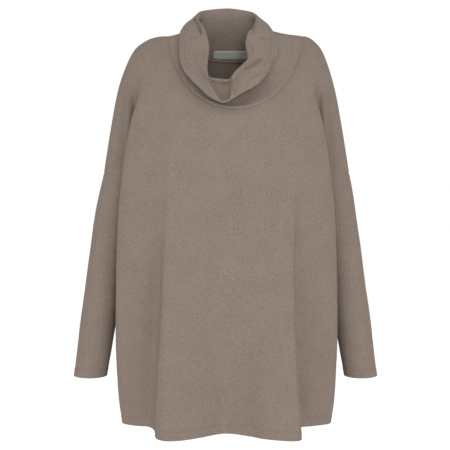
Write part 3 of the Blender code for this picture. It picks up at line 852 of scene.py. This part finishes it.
def brushed_double_knit(colours):
    """Fine double knit of a wool mix, brushed on its face.

    The eye sees a dry, matt taupe with no highlight, a heathered grain of lighter and darker fibres, faint
    wales that run down the cloth with painted shade in the furrows between them, and a soft lift at grazing
    angles from the nap.
    """
    material, tree, shader = new_material("brushed_double_knit")
    place = add_node(tree, "ShaderNodeUVMap", {"uv_map": "cloth"}).outputs["UV"]
    spot = add_node(tree, "ShaderNodeTexCoord").outputs["Object"]
    flat = add_node(tree, "ShaderNodeSeparateXYZ", inputs={"Vector": place}).outputs

    heather = add_node(
        tree,
        "ShaderNodeTexNoise",
        inputs={"Vector": spot, "Scale": 1.0 / HEATHER_SIZE, "Detail": 3.0, "Roughness": 0.65},
    ).outputs["Fac"]
    clouds = add_node(
        tree,
        "ShaderNodeTexNoise",
        inputs={"Vector": spot, "Scale": 1.0 / CLOUD_SIZE, "Detail": 2.0},
    ).outputs["Fac"]

    wale = sums(tree, "PINGPONG", sums(tree, "DIVIDE", flat["X"], WALE_WIDTH), 0.5)
    course = sums(tree, "DIVIDE", flat["Y"], COURSE_HEIGHT)
    slanted = sums(tree, "ADD", course, sums(tree, "MULTIPLY", wale, 1.1))
    loops = sums(tree, "SINE", sums(tree, "MULTIPLY", slanted, 2.0 * math.pi))
    ribs = sums(tree, "SINE", sums(tree, "MULTIPLY", wale, math.pi))
    knit = sums(tree, "ADD", sums(tree, "MULTIPLY", ribs, 0.7), sums(tree, "MULTIPLY", loops, 0.3))

    edge = add_node(tree, "ShaderNodeAttribute", {"attribute_name": "hem_distance"}).outputs["Fac"]
    from_line = sums(tree, "ABSOLUTE", sums(tree, "SUBTRACT", edge, HEM_FOLD))
    line = sums(tree, "LESS_THAN", from_line, 0.0008)
    dash = sums(tree, "PINGPONG", sums(tree, "DIVIDE", flat["X"], STITCH_LENGTH), 0.5)
    stitch = sums(tree, "MULTIPLY", line, sums(tree, "GREATER_THAN", dash, 0.14))

    grain = add_node(
        tree,
        "ShaderNodeMapRange",
        inputs={"Value": heather, "From Min": 0.34, "From Max": 0.66, "To Min": 0.0, "To Max": 1.0},
    ).outputs["Result"]
    shade = add_node(
        tree,
        "ShaderNodeMix",
        {"data_type": "RGBA"},
        {"Factor": grain, 6: (*colours.knit_dark, 1.0), 7: (*colours.knit_light, 1.0)},
    ).outputs[2]
    cloudy = add_node(
        tree,
        "ShaderNodeMapRange",
        inputs={"Value": clouds, "From Min": 0.3, "From Max": 0.7, "To Min": 0.965, "To Max": 1.035},
    ).outputs["Result"]
    # Painted shade: the colour is about 9 per cent darker in the furrows between the wales than on the rib
    # tops.
    furrow_shade = sums(tree, "ADD", 0.93, sums(tree, "MULTIPLY", ribs, 0.09))
    level = sums(tree, "MULTIPLY", sums(tree, "MULTIPLY", cloudy, furrow_shade), sums(tree, "SUBTRACT", 1.0, sums(tree, "MULTIPLY", stitch, 0.16)))
    colour = add_node(
        tree,
        "ShaderNodeVectorMath",
        {"operation": "SCALE"},
        {0: shade, "Scale": level},
    ).outputs["Vector"]

    height = sums(tree, "ADD", knit, sums(tree, "MULTIPLY", heather, 0.9))
    height = sums(tree, "SUBTRACT", height, sums(tree, "MULTIPLY", stitch, 0.8))
    bump = add_node(
        tree,
        "ShaderNodeBump",
        inputs={"Height": height, "Strength": 0.30, "Distance": 0.0006},
    ).outputs["Normal"]
    tree.links.new(colour, shader.inputs["Base Color"])
    tree.links.new(bump, shader.inputs["Normal"])
    shader.inputs["Roughness"].default_value = 0.95
    shader.inputs["Specular IOR Level"].default_value = 0.20
    shader.inputs["Sheen Weight"].default_value = 0.12
    shader.inputs["Sheen Roughness"].default_value = 0.55
    shader.inputs["Sheen Tint"].default_value = (*colours.knit_light, 1.0)
    return material


def overlock_thread(colours):
    """Spun polyester thread, overlocked over the cut edges of the neck seam.

    The eye sees a row of close, slanted loops, a little darker and smoother than the knit.
    """
    material, tree, shader = new_material("overlock_thread")
    place = add_node(tree, "ShaderNodeUVMap", {"uv_map": "cloth"}).outputs["UV"]
    flat = add_node(tree, "ShaderNodeSeparateXYZ", inputs={"Vector": place}).outputs
    slant = sums(tree, "ADD", sums(tree, "DIVIDE", flat["X"], 0.0024), sums(tree, "DIVIDE", flat["Y"], 0.006))
    loops = sums(tree, "SINE", sums(tree, "MULTIPLY", slant, 2.0 * math.pi))
    share = sums(tree, "ADD", 0.5, sums(tree, "MULTIPLY", loops, 0.5))
    shade = add_node(
        tree,
        "ShaderNodeMix",
        {"data_type": "RGBA"},
        {"Factor": share, 6: (*[v * 0.7 for v in colours.thread], 1.0), 7: (*colours.thread, 1.0)},
    ).outputs[2]
    bump = add_node(
        tree, "ShaderNodeBump", inputs={"Height": loops, "Strength": 0.6, "Distance": 0.0006}
    ).outputs["Normal"]
    tree.links.new(shade, shader.inputs["Base Color"])
    tree.links.new(bump, shader.inputs["Normal"])
    shader.inputs["Roughness"].default_value = 0.7
    return material


def woven_satin_tape(colours):
    """Polyester satin tape, woven and cut with sealed ends.

    The eye sees a smooth grey-green band with a soft silky shine and the finest cross threads.
    """
    material, tree, shader = new_material("woven_satin_tape")
    place = add_node(tree, "ShaderNodeUVMap", {"uv_map": "cloth"}).outputs["UV"]
    flat = add_node(tree, "ShaderNodeSeparateXYZ", inputs={"Vector": place}).outputs
    across = sums(tree, "SINE", sums(tree, "MULTIPLY", flat["Y"], 2.0 * math.pi / 0.0009))
    along = sums(tree, "SINE", sums(tree, "MULTIPLY", flat["X"], 2.0 * math.pi / 0.0012))
    weave = sums(tree, "MULTIPLY", across, along)
    share = sums(tree, "ADD", 0.6, sums(tree, "MULTIPLY", weave, 0.4))
    shade = add_node(
        tree,
        "ShaderNodeMix",
        {"data_type": "RGBA"},
        {"Factor": share, 6: (*[v * 0.82 for v in colours.label], 1.0), 7: (*colours.label, 1.0)},
    ).outputs[2]
    bump = add_node(
        tree, "ShaderNodeBump", inputs={"Height": weave, "Strength": 0.2, "Distance": 0.0002}
    ).outputs["Normal"]
    tree.links.new(shade, shader.inputs["Base Color"])
    tree.links.new(bump, shader.inputs["Normal"])
    shader.inputs["Roughness"].default_value = 0.38
    shader.inputs["Sheen Weight"].default_value = 0.3
    return material


def painted_board(colours):
    """Board with matt white emulsion paint, which gives an even pale ground."""
    material, tree, shader = new_material("matt_white_board")
    spot = add_node(tree, "ShaderNodeTexCoord").outputs["Object"]
    roller = add_node(
        tree, "ShaderNodeTexNoise", inputs={"Vector": spot, "Scale": 180.0, "Detail": 2.0}
    ).outputs["Fac"]
    bump = add_node(
        tree, "ShaderNodeBump", inputs={"Height": roller, "Strength": 0.05, "Distance": 0.0004}
    ).outputs["Normal"]
    tree.links.new(bump, shader.inputs["Normal"])
    shader.inputs["Base Color"].default_value = (*colours.floor, 1.0)
    shader.inputs["Roughness"].default_value = 0.9
    return material


MAKERS = {
    "brushed_double_knit": brushed_double_knit,
    "overlock_thread": overlock_thread,
    "woven_satin_tape": woven_satin_tape,
    "matt_white_board": painted_board,
}


def material_named(name):
    """A material, made when it is first asked for."""
    return bpy.data.materials.get(name) or MAKERS[name](bpy.context.scene.sweater.colours)


def dress(piece, material, slot, *nodes):
    """A piece with its material, on its body and in the place of its solids."""
    piece.data.materials.append(material_named(material))
    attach(piece, "root")
    if nodes:
        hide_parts(*nodes)


# What a user can change.


class SweaterSizes(bpy.types.PropertyGroup):
    """Sizes of the cloth and of its seams."""

    cloth_thickness: FloatProperty(
        name="Cloth thickness",
        description="Thickness of the knit",
        default=0.002,
        min=0.001,
        max=0.003,
        unit="LENGTH",
    )
    crease_strength: FloatProperty(
        name="Crease strength",
        description="How strongly the creases show, where 1 is as worn",
        default=1.0,
        min=0.0,
        max=2.0,
        subtype="FACTOR",
    )
    label_thickness: FloatProperty(
        name="Label thickness",
        description="Thickness of the woven tape in the neck",
        default=0.0006,
        min=0.0003,
        max=0.001,
        unit="LENGTH",
    )
    seam_radius: FloatProperty(
        name="Neck seam radius",
        description="Half the thickness of the overlocked edges inside the neck",
        default=0.0025,
        min=0.001,
        max=0.004,
        unit="LENGTH",
    )


class SweaterColours(bpy.types.PropertyGroup):
    """Colours of the knit, the thread, the label and the floor."""

    knit_light: FloatVectorProperty(
        name="Knit, light fibres",
        description="The lighter fibres of the heathered knit",
        default=linear("7A6D63"),
        subtype="COLOR",
        min=0.0,
        max=1.0,
    )
    knit_dark: FloatVectorProperty(
        name="Knit, dark fibres",
        description="The darker fibres of the heathered knit",
        default=linear("685D55"),
        subtype="COLOR",
        min=0.0,
        max=1.0,
    )
    thread: FloatVectorProperty(
        name="Thread",
        description="The thread over the edges of the neck seam",
        default=linear("7D6A5E"),
        subtype="COLOR",
        min=0.0,
        max=1.0,
    )
    label: FloatVectorProperty(
        name="Label",
        description="The blank tape inside the back of the neck",
        default=linear("989D94"),
        subtype="COLOR",
        min=0.0,
        max=1.0,
    )
    floor: FloatVectorProperty(
        name="Floor",
        description="The plain floor of the studio",
        default=linear("FEFEFE"),
        subtype="COLOR",
        min=0.0,
        max=1.0,
    )


class SweaterStudio(bpy.types.PropertyGroup):
    """The studio's camera and lights."""

    floor_drop: FloatProperty(
        name="Floor below the neck",
        description="How far the wearer's floor is below the neck",
        default=1.46,
        min=0.8,
        max=1.8,
        unit="LENGTH",
    )
    camera_distance: FloatProperty(
        name="Camera distance",
        description="How far the camera stands in front of the neck",
        default=2.4,
        min=1.0,
        max=6.0,
        unit="LENGTH",
    )
    key_power: FloatProperty(
        name="Front light",
        description="Power of the large soft light in front, in watts",
        default=25.0,
        min=0.0,
        max=500.0,
    )
    neck_power: FloatProperty(
        name="Neck light",
        description="Power of the narrow soft light that reaches inside the collar, in watts",
        default=34.0,
        min=0.0,
        max=200.0,
    )
    sky_strength: FloatProperty(
        name="Ambient light",
        description="Strength of the even light from all round",
        default=1.02,
        min=0.0,
        max=2.0,
    )


class SweaterSettings(bpy.types.PropertyGroup):
    """All that a user can change."""

    sizes: PointerProperty(type=SweaterSizes)
    colours: PointerProperty(type=SweaterColours)
    studio: PointerProperty(type=SweaterStudio)


# The pieces.


class SWEATER_OT_panels(bpy.types.Operator):
    """Adds the front and back panels, each cut in one with its half of the upper arms"""

    bl_idname = "sweater.panels"
    bl_label = "Front and back"

    def execute(self, context):
        sizes = context.scene.sweater.sizes
        for name, face, creases, flat, area in (
            ("front_panel", -1, FRONT_CREASES, (0.72, 0.78), 0.465),
            ("back_panel", 1, BACK_CREASES, (0.74, 0.79), 0.494),
        ):
            rows = panel_rows(face)
            sewn, hem = panel_distances(rows)
            relief = crease_relief(creases)

            def depth_at(row, column, point):
                depth = seam_relief(sewn[row][column]) + hem_relief(hem[row][column])
                worn = relief(point.x, point.z) + softness(point)
                return depth + worn * sizes.crease_strength * seam_hold(sewn[row][column])

            places = panel_places(rows)
            shaped = pressed(rows, False, face, depth_at)
            piece = cloth_sheet(name, shaped, False, hem, places)
            give_wall(piece, sizes.cloth_thickness)
            dress(piece, "brushed_double_knit", "knit", name.split("_")[0])
        return {"FINISHED"}


class SWEATER_OT_sleeves(bpy.types.Operator):
    """Adds the two sleeves, from their dropped seams to the cuffs"""

    bl_idname = "sweater.sleeves"
    bl_label = "Sleeves"

    def execute(self, context):
        sizes = context.scene.sweater.sizes
        relief = crease_relief(SLEEVE_CREASES)
        for name, side in (("sleeve_right", -1), ("sleeve_left", 1)):
            rows = sleeve_rows(side)
            down = [lengths_along([row[column] for row in rows]) for column in range(len(rows[0]))]
            hem = [[line[-1] - line[index] for line in down] for index in range(len(rows))]

            def depth_at(row, column, point):
                depth = seam_relief(down[column][row]) + hem_relief(hem[row][column])
                worn = relief(abs(point.x), point.z + 0.012 * side * point.y / ARM_HALF_DEPTH)
                worn = (worn + softness(point)) * seam_hold(down[column][row])
                return depth + worn * sizes.crease_strength

            places = tube_places(rows)
            shaped = pressed(rows, True, -side, depth_at)
            piece = cloth_sheet(name + "_tube", shaped, True, hem, places)
            give_wall(piece, sizes.cloth_thickness)
            dress(piece, "brushed_double_knit", "knit", name)
        return {"FINISHED"}


class SWEATER_OT_collar(bpy.types.Operator):
    """Adds the collar, rolled over and folded down, with the creases of its fall"""

    bl_idname = "sweater.collar"
    bl_label = "Collar"

    def execute(self, context):
        sizes = context.scene.sweater.sizes
        rows = collar_rows()
        down = [lengths_along([row[column] for row in rows]) for column in range(len(rows[0]))]
        hem = [[line[-1] - line[index] for line in down] for index in range(len(rows))]
        outside = crease_relief(COLLAR_CREASES)
        inside = crease_relief(COLLAR_INSIDE_CREASES)

        def depth_at(row, column, point):
            worn = softness(point)
            if row >= FALL_START and point.y < 0.02:
                worn += outside(point.x, point.z)
            elif row < FALL_START and point.y > -0.02:
                worn += inside(point.x, point.z)
            depth = seam_relief(down[column][row]) * -1.0 + hem_relief(hem[row][column]) * 0.7
            return depth + worn * sizes.crease_strength * seam_hold(down[column][row])

        places = tube_places(rows)
        shaped = pressed(rows, True, -1, depth_at)
        piece = cloth_sheet("cowl_collar", shaped, True, hem, places)
        give_wall(piece, sizes.cloth_thickness)
        dress(piece, "brushed_double_knit", "knit", "collar")
        return {"FINISHED"}


class SWEATER_OT_neck_seam(bpy.types.Operator):
    """Adds the overlocked edges of the collar seam, inside the neck"""

    bl_idname = "sweater.neck_seam"
    bl_label = "Neck seam"

    def execute(self, context):
        sizes = context.scene.sweater.sizes
        collar = collar_rows()
        count = len(collar[0])
        sides = 10
        rows = [[] for _ in range(sides)]
        for column in range(count):
            inward = normal_at(collar, 0, column, True, -1)
            along = (collar[0][(column + 1) % count] - collar[0][column - 1]).normalized()
            across = along.cross(inward)
            reach = sizes.cloth_thickness / 2.0 + sizes.seam_radius * 0.8
            centre = collar[0][column] + inward * reach
            for index in range(sides):
                turn = 2.0 * math.pi * index / sides
                offset = inward * math.cos(turn) * 0.8 + across * math.sin(turn) * 1.3
                rows[index].append(centre + offset * sizes.seam_radius)
        places = tube_places(rows)
        piece = cloth_sheet("neck_seam_overlock", rows, True, [[FAR] * count] * sides, places)
        shape = bmesh.new()
        shape.from_mesh(piece.data)
        loose = [edge for edge in shape.edges if edge.is_boundary]
        bmesh.ops.bridge_loops(shape, edges=loose)
        bmesh.ops.recalc_face_normals(shape, faces=shape.faces)
        shape.to_mesh(piece.data)
        shape.free()
        piece.data.shade_smooth()
        dress(piece, "overlock_thread", "knit")
        return {"FINISHED"}


class SWEATER_OT_label(bpy.types.Operator):
    """Adds the blank tape label inside the back of the neck, held at its two ends"""

    bl_idname = "sweater.label"
    bl_label = "Label"

    def execute(self, context):
        sizes = context.scene.sweater.sizes
        wide, tall, corner = 41, 11, 0.10
        rows = [[] for _ in range(tall)]
        for column in range(wide):
            share = column / (wide - 1)
            step = mix(LABEL_STEPS[0], LABEL_STEPS[1], share)
            line = collar_column(step)
            beside = collar_column(step + 0.05)
            from_end = min(share, 1.0 - share) / corner
            round_end = math.sqrt(max(1.0 - (1.0 - min(from_end, 1.0)) ** 2, 0.0))
            reach = mix(0.45, 1.0, round_end)
            lift = 0.0012 * smooth_step(0.0, 0.12, min(share, 1.0 - share))
            for index in range(tall):
                across = (index / (tall - 1) - 0.5) * reach + 0.5
                height = mix(LABEL_HEIGHTS[1], LABEL_HEIGHTS[0], across)
                row = 1
                while row < FALL_START and line[row + 1].z < height:
                    row += 1
                part = (height - line[row].z) / (line[row + 1].z - line[row].z)
                point = line[row].lerp(line[row + 1], part)
                inward = (line[row + 1] - line[row]).cross(beside[row] - line[row]).normalized()
                clear = sizes.cloth_thickness / 2.0 + 0.0004 + sizes.label_thickness / 2.0
                rows[index].append(point + inward * (clear + lift))
        places = []
        for row in rows:
            lengths = lengths_along(row)
            places.append([(length, point.z) for length, point in zip(lengths, row)])
        piece = cloth_sheet("neck_label", rows, False, [[FAR] * wide] * tall, places)
        give_wall(piece, sizes.label_thickness)
        dress(piece, "woven_satin_tape", "label_tape", "label")
        return {"FINISHED"}


class SWEATER_OT_studio(bpy.types.Operator):
    """Adds the plain floor, the soft lights and the camera"""

    bl_idname = "sweater.studio"
    bl_label = "Studio"

    def execute(self, context):
        scene = context.scene
        studio = scene.sweater.studio

        shape = bmesh.new()
        bmesh.ops.create_grid(shape, x_segments=8, y_segments=8, size=20.0)
        bmesh.ops.translate(shape, verts=shape.verts, vec=(0.0, 0.0, -studio.floor_drop))
        mesh = bpy.data.meshes.new("studio_floor")
        shape.to_mesh(mesh)
        shape.free()
        floor = bpy.data.objects.new("studio_floor", mesh)
        scene.collection.objects.link(floor)
        mesh.materials.append(material_named("matt_white_board"))

        world = bpy.data.worlds.new("studio_air")
        world.use_nodes = True
        air = world.node_tree.nodes["Background"]
        air.inputs["Color"].default_value = (1.0, 1.0, 1.0, 1.0)
        air.inputs["Strength"].default_value = studio.sky_strength
        scene.world = world

        for name, place, size, power in (
            ("front_light", (0.2, -3.6, -0.1), 1.2, studio.key_power * 1.6),
            ("left_light", (2.0, -2.2, -0.2), 1.0, studio.key_power * 0.55),
            ("right_light", (-2.0, -2.2, -0.3), 1.0, studio.key_power * 0.55),
            ("back_light", (0.0, 3.2, 1.4), 2.0, studio.key_power * 0.3),
        ):
            lamp = bpy.data.lights.new(name, "AREA")
            lamp.shape = "SQUARE"
            lamp.size = size
            lamp.energy = power
            light = bpy.data.objects.new(name, lamp)
            aim = Vector((0.0, 0.0, -0.15)) - Vector(place)
            light.location = place
            light.rotation_euler = aim.to_track_quat("-Z", "Y").to_euler()
            scene.collection.objects.link(light)

        beam = bpy.data.lights.new("neck_light", "SPOT")
        beam.energy = studio.neck_power
        beam.spot_size = math.radians(NECK_LIGHT_ANGLE)
        beam.spot_blend = 1.0
        beam.shadow_soft_size = 0.12
        light = bpy.data.objects.new("neck_light", beam)
        light.location = (0.25, -2.1, 0.25)
        aim = Vector((0.0, 0.05, -0.03)) - light.location
        light.rotation_euler = aim.to_track_quat("-Z", "Y").to_euler()
        scene.collection.objects.link(light)

        eye = bpy.data.cameras.new("photo_camera")
        eye.sensor_width = 36.0
        eye.lens = 36.0 * studio.camera_distance / 0.9
        eye.shift_y = -0.24
        camera = bpy.data.objects.new("photo_camera", eye)
        camera.location = (0.0, -studio.camera_distance, -0.15)
        camera.rotation_euler = (math.radians(90.0), 0.0, 0.0)
        scene.collection.objects.link(camera)
        scene.camera = camera
        scene.view_settings.view_transform = "Standard"
        return {"FINISHED"}


class SWEATER_PT_panel(bpy.types.Panel):
    """The sweater's pieces and settings"""

    bl_label = "Sweater"
    bl_space_type = "VIEW_3D"
    bl_region_type = "UI"
    bl_category = "Sweater"

    def draw(self, context):
        settings = context.scene.sweater
        for group in (settings.sizes, settings.colours, settings.studio):
            box = self.layout.box()
            for name in group.__annotations__:
                box.prop(group, name)
        for piece in PIECES:
            self.layout.operator(piece.bl_idname)


PIECES = (
    SWEATER_OT_panels,
    SWEATER_OT_sleeves,
    SWEATER_OT_collar,
    SWEATER_OT_neck_seam,
    SWEATER_OT_label,
    SWEATER_OT_studio,
)
CLASSES = (SweaterSizes, SweaterColours, SweaterStudio, SweaterSettings, *PIECES, SWEATER_PT_panel)


def register():
    """Adds the settings, the operators and the panel."""
    for kind in CLASSES:
        bpy.utils.register_class(kind)
    bpy.types.Scene.sweater = PointerProperty(type=SweaterSettings)


def unregister():
    """Takes them out again."""
    del bpy.types.Scene.sweater
    for kind in reversed(CLASSES):
        bpy.utils.unregister_class(kind)


def main():
    """Builds every piece and the studio."""
    register()
    for operator in (
        bpy.ops.sweater.panels,
        bpy.ops.sweater.sleeves,
        bpy.ops.sweater.collar,
        bpy.ops.sweater.neck_seam,
        bpy.ops.sweater.label,
        bpy.ops.sweater.studio,
    ):
        operator()


if __name__ == "__main__":
    main()
